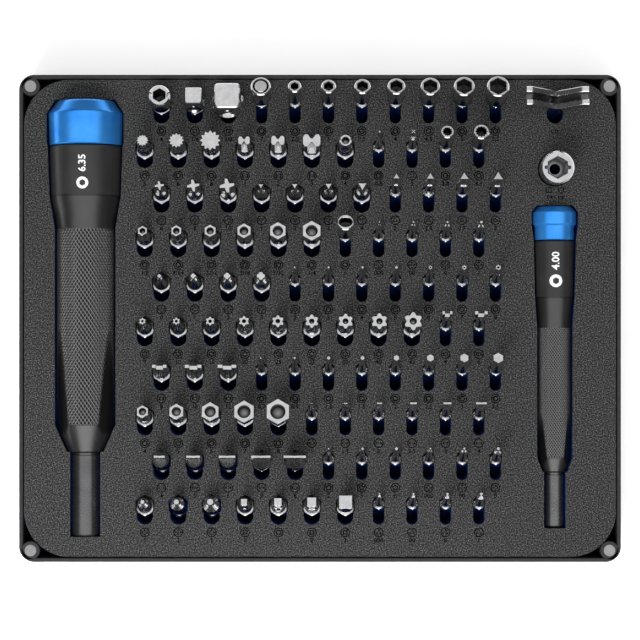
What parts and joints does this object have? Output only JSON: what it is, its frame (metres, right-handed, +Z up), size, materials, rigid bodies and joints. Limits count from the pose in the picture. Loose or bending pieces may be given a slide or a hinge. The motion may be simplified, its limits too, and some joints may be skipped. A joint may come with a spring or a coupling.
{
  "type": "precision screwdriver set",
  "caption": "Shallow dark tray with a foam insert that holds leaning screwdriver bits in rows, an upright adapter and two knurled handles with blue spinning caps.",
  "frame": {"origin": "middle of the case's base, on the surface that it stands on", "axes": "+X along the case from the large driver to the small one, +Y towards the back, where the bits lean to, +Z up out of the tray"},
  "size_m": [0.2136, 0.173, 0.0336],
  "materials": {
    "tray": "satin black",
    "foam_core": "matte blue foam",
    "foam_skin": "gritty charcoal foam",
    "magnet": "plated",
    "bit_steel": "bright satin",
    "handle": "black anodised",
    "bearing_steel": "polished",
    "cap": "blue anodised"
  },
  "bodies": {
    "case": {"case_tray": "tray", "foam_core": "foam_core", "foam_skin": "foam_skin", "corner_magnet_front_left": "magnet", "corner_magnet_front_right": "magnet", "corner_magnet_rear_left": "magnet", "corner_magnet_rear_right": "magnet"},
    "large_driver": {"large_driver_handle": "handle", "large_driver_shank": "handle", "large_driver_bit_magnet": "magnet", "large_driver_axle_screw": "bearing_steel", "large_driver_bearing_inner": "bearing_steel", "large_driver_bearing_balls": "bearing_steel"},
    "large_driver_spin": {"large_driver_cap": "cap", "large_driver_bearing_outer": "bearing_steel"},
    "small_driver": {"small_driver_handle": "handle", "small_driver_shank": "handle", "small_driver_bit_magnet": "magnet", "small_driver_axle_screw": "bearing_steel", "small_driver_bearing_inner": "bearing_steel", "small_driver_bearing_balls": "bearing_steel"},
    "small_driver_spin": {"small_driver_cap": "cap", "small_driver_bearing_outer": "bearing_steel"},
    "bit_holder_adapter_set": {"bit_holder_adapter": "bit_steel"},
    "square_drive_small_set": {"square_drive_small": "bit_steel"},
    "square_drive_large_set": {"square_drive_large": "bit_steel"},
    "spline_bits_set": {"spline_bits": "bit_steel"},
    "clutch_bits_set": {"clutch_bits": "bit_steel"},
    "ring_tip_bit_set": {"ring_tip_bit": "bit_steel"},
    "offset_cross_bits_set": {"offset_cross_bits": "bit_steel"},
    "three_groove_bits_set": {"three_groove_bits": "bit_steel"},
    "inch_hex_bits_set": {"inch_hex_bits": "bit_steel"},
    "ribbed_cross_bits_set": {"ribbed_cross_bits": "bit_steel"},
    "large_six_lobe_bits_set": {"large_six_lobe_bits": "bit_steel"},
    "large_fork_bits_set": {"large_fork_bits": "bit_steel"},
    "metric_hex_bits_set": {"metric_hex_bits": "bit_steel"},
    "large_flat_bits_set": {"large_flat_bits": "bit_steel"},
    "large_cross_bits_set": {"large_cross_bits": "bit_steel"},
    "square_tip_bits_set": {"square_tip_bits": "bit_steel"},
    "wing_nut_driver_set": {"wing_nut_driver": "bit_steel"},
    "post_socket_bit_set": {"post_socket_bit": "bit_steel"},
    "nut_socket_bits_set": {"nut_socket_bits": "bit_steel"},
    "eject_pin_bit_set": {"eject_pin_bit": "bit_steel"},
    "fine_x_bit_set": {"fine_x_bit": "bit_steel"},
    "toothed_socket_bits_set": {"toothed_socket_bits": "bit_steel"},
    "triangle_bits_set": {"triangle_bits": "bit_steel"},
    "oval_socket_bit_set": {"oval_socket_bit": "bit_steel"},
    "fine_pointed_cross_bits_set": {"fine_pointed_cross_bits": "bit_steel"},
    "small_six_lobe_bits_set": {"small_six_lobe_bits": "bit_steel"},
    "small_hollow_six_lobe_bits_set": {"small_hollow_six_lobe_bits": "bit_steel"},
    "small_fork_bits_set": {"small_fork_bits": "bit_steel"},
    "small_hex_bits_set": {"small_hex_bits": "bit_steel"},
    "small_flat_bits_set": {"small_flat_bits": "bit_steel"},
    "five_lobe_bits_set": {"five_lobe_bits": "bit_steel"},
    "small_cross_bits_set": {"small_cross_bits": "bit_steel"},
    "three_wing_bits_set": {"three_wing_bits": "bit_steel"},
    "square_to_hex_adapter_set": {"square_to_hex_adapter": "bit_steel"}
  },
  "joints": [
    {"name": "large_driver_lift", "type": "slide", "parent": "case", "child": "large_driver", "axis": [0, 0, 1], "range_m": [0, 0.045]},
    {"name": "large_driver_cap_spin", "type": "hinge", "parent": "large_driver", "child": "large_driver_spin", "pos_m": [-0.0834, 0.07, 0.0166], "axis": [0, 1, 0], "continuous": true},
    {"name": "small_driver_lift", "type": "slide", "parent": "case", "child": "small_driver", "axis": [0, 0, 1], "range_m": [0, 0.045]},
    {"name": "small_driver_cap_spin", "type": "hinge", "parent": "small_driver", "child": "small_driver_spin", "pos_m": [0.0834, 0.035, 0.0166], "axis": [0, 1, 0], "continuous": true},
    {"name": "bit_holder_adapter_lift", "type": "slide", "parent": "case", "child": "bit_holder_adapter_set", "axis": [0, 0.2079, 0.9781], "range_m": [0, 0.03]},
    {"name": "square_drive_small_lift", "type": "slide", "parent": "case", "child": "square_drive_small_set", "axis": [0, 0.2079, 0.9781], "range_m": [0, 0.03]},
    {"name": "square_drive_large_lift", "type": "slide", "parent": "case", "child": "square_drive_large_set", "axis": [0, 0.2079, 0.9781], "range_m": [0, 0.03]},
    {"name": "spline_bits_lift", "type": "slide", "parent": "case", "child": "spline_bits_set", "axis": [0, 0.2079, 0.9781], "range_m": [0, 0.03]},
    {"name": "clutch_bits_lift", "type": "slide", "parent": "case", "child": "clutch_bits_set", "axis": [0, 0.2079, 0.9781], "range_m": [0, 0.03]},
    {"name": "ring_tip_bit_lift", "type": "slide", "parent": "case", "child": "ring_tip_bit_set", "axis": [0, 0.2079, 0.9781], "range_m": [0, 0.03]},
    {"name": "offset_cross_bits_lift", "type": "slide", "parent": "case", "child": "offset_cross_bits_set", "axis": [0, 0.2079, 0.9781], "range_m": [0, 0.03]},
    {"name": "three_groove_bits_lift", "type": "slide", "parent": "case", "child": "three_groove_bits_set", "axis": [0, 0.2079, 0.9781], "range_m": [0, 0.03]},
    {"name": "inch_hex_bits_lift", "type": "slide", "parent": "case", "child": "inch_hex_bits_set", "axis": [0, 0.2079, 0.9781], "range_m": [0, 0.03]},
    {"name": "ribbed_cross_bits_lift", "type": "slide", "parent": "case", "child": "ribbed_cross_bits_set", "axis": [0, 0.2079, 0.9781], "range_m": [0, 0.03]},
    {"name": "large_six_lobe_bits_lift", "type": "slide", "parent": "case", "child": "large_six_lobe_bits_set", "axis": [0, 0.2079, 0.9781], "range_m": [0, 0.03]},
    {"name": "large_fork_bits_lift", "type": "slide", "parent": "case", "child": "large_fork_bits_set", "axis": [0, 0.2079, 0.9781], "range_m": [0, 0.03]},
    {"name": "metric_hex_bits_lift", "type": "slide", "parent": "case", "child": "metric_hex_bits_set", "axis": [0, 0.2079, 0.9781], "range_m": [0, 0.03]},
    {"name": "large_flat_bits_lift", "type": "slide", "parent": "case", "child": "large_flat_bits_set", "axis": [0, 0.2079, 0.9781], "range_m": [0, 0.03]},
    {"name": "large_cross_bits_lift", "type": "slide", "parent": "case", "child": "large_cross_bits_set", "axis": [0, 0.2079, 0.9781], "range_m": [0, 0.03]},
    {"name": "square_tip_bits_lift", "type": "slide", "parent": "case", "child": "square_tip_bits_set", "axis": [0, 0.2079, 0.9781], "range_m": [0, 0.03]},
    {"name": "wing_nut_driver_lift", "type": "slide", "parent": "case", "child": "wing_nut_driver_set", "axis": [0, 0.2079, 0.9781], "range_m": [0, 0.03]},
    {"name": "post_socket_bit_lift", "type": "slide", "parent": "case", "child": "post_socket_bit_set", "axis": [0, 0.342, 0.9397], "range_m": [0, 0.03]},
    {"name": "nut_socket_bits_lift", "type": "slide", "parent": "case", "child": "nut_socket_bits_set", "axis": [0, 0.342, 0.9397], "range_m": [0, 0.03]},
    {"name": "eject_pin_bit_lift", "type": "slide", "parent": "case", "child": "eject_pin_bit_set", "axis": [0, 0.342, 0.9397], "range_m": [0, 0.03]},
    {"name": "fine_x_bit_lift", "type": "slide", "parent": "case", "child": "fine_x_bit_set", "axis": [0, 0.342, 0.9397], "range_m": [0, 0.03]},
    {"name": "toothed_socket_bits_lift", "type": "slide", "parent": "case", "child": "toothed_socket_bits_set", "axis": [0, 0.342, 0.9397], "range_m": [0, 0.03]},
    {"name": "triangle_bits_lift", "type": "slide", "parent": "case", "child": "triangle_bits_set", "axis": [0, 0.342, 0.9397], "range_m": [0, 0.03]},
    {"name": "oval_socket_bit_lift", "type": "slide", "parent": "case", "child": "oval_socket_bit_set", "axis": [0, 0.342, 0.9397], "range_m": [0, 0.03]},
    {"name": "fine_pointed_cross_bits_lift", "type": "slide", "parent": "case", "child": "fine_pointed_cross_bits_set", "axis": [0, 0.342, 0.9397], "range_m": [0, 0.03]},
    {"name": "small_six_lobe_bits_lift", "type": "slide", "parent": "case", "child": "small_six_lobe_bits_set", "axis": [0, 0.342, 0.9397], "range_m": [0, 0.03]},
    {"name": "small_hollow_six_lobe_bits_lift", "type": "slide", "parent": "case", "child": "small_hollow_six_lobe_bits_set", "axis": [0, 0.342, 0.9397], "range_m": [0, 0.03]},
    {"name": "small_fork_bits_lift", "type": "slide", "parent": "case", "child": "small_fork_bits_set", "axis": [0, 0.342, 0.9397], "range_m": [0, 0.03]},
    {"name": "small_hex_bits_lift", "type": "slide", "parent": "case", "child": "small_hex_bits_set", "axis": [0, 0.342, 0.9397], "range_m": [0, 0.03]},
    {"name": "small_flat_bits_lift", "type": "slide", "parent": "case", "child": "small_flat_bits_set", "axis": [0, 0.342, 0.9397], "range_m": [0, 0.03]},
    {"name": "five_lobe_bits_lift", "type": "slide", "parent": "case", "child": "five_lobe_bits_set", "axis": [0, 0.342, 0.9397], "range_m": [0, 0.03]},
    {"name": "small_cross_bits_lift", "type": "slide", "parent": "case", "child": "small_cross_bits_set", "axis": [0, 0.342, 0.9397], "range_m": [0, 0.03]},
    {"name": "three_wing_bits_lift", "type": "slide", "parent": "case", "child": "three_wing_bits_set", "axis": [0, 0.342, 0.9397], "range_m": [0, 0.03]},
    {"name": "square_to_hex_adapter_lift", "type": "slide", "parent": "case", "child": "square_to_hex_adapter_set", "axis": [0, 0, 1], "range_m": [0, 0.03]}
  ]
}
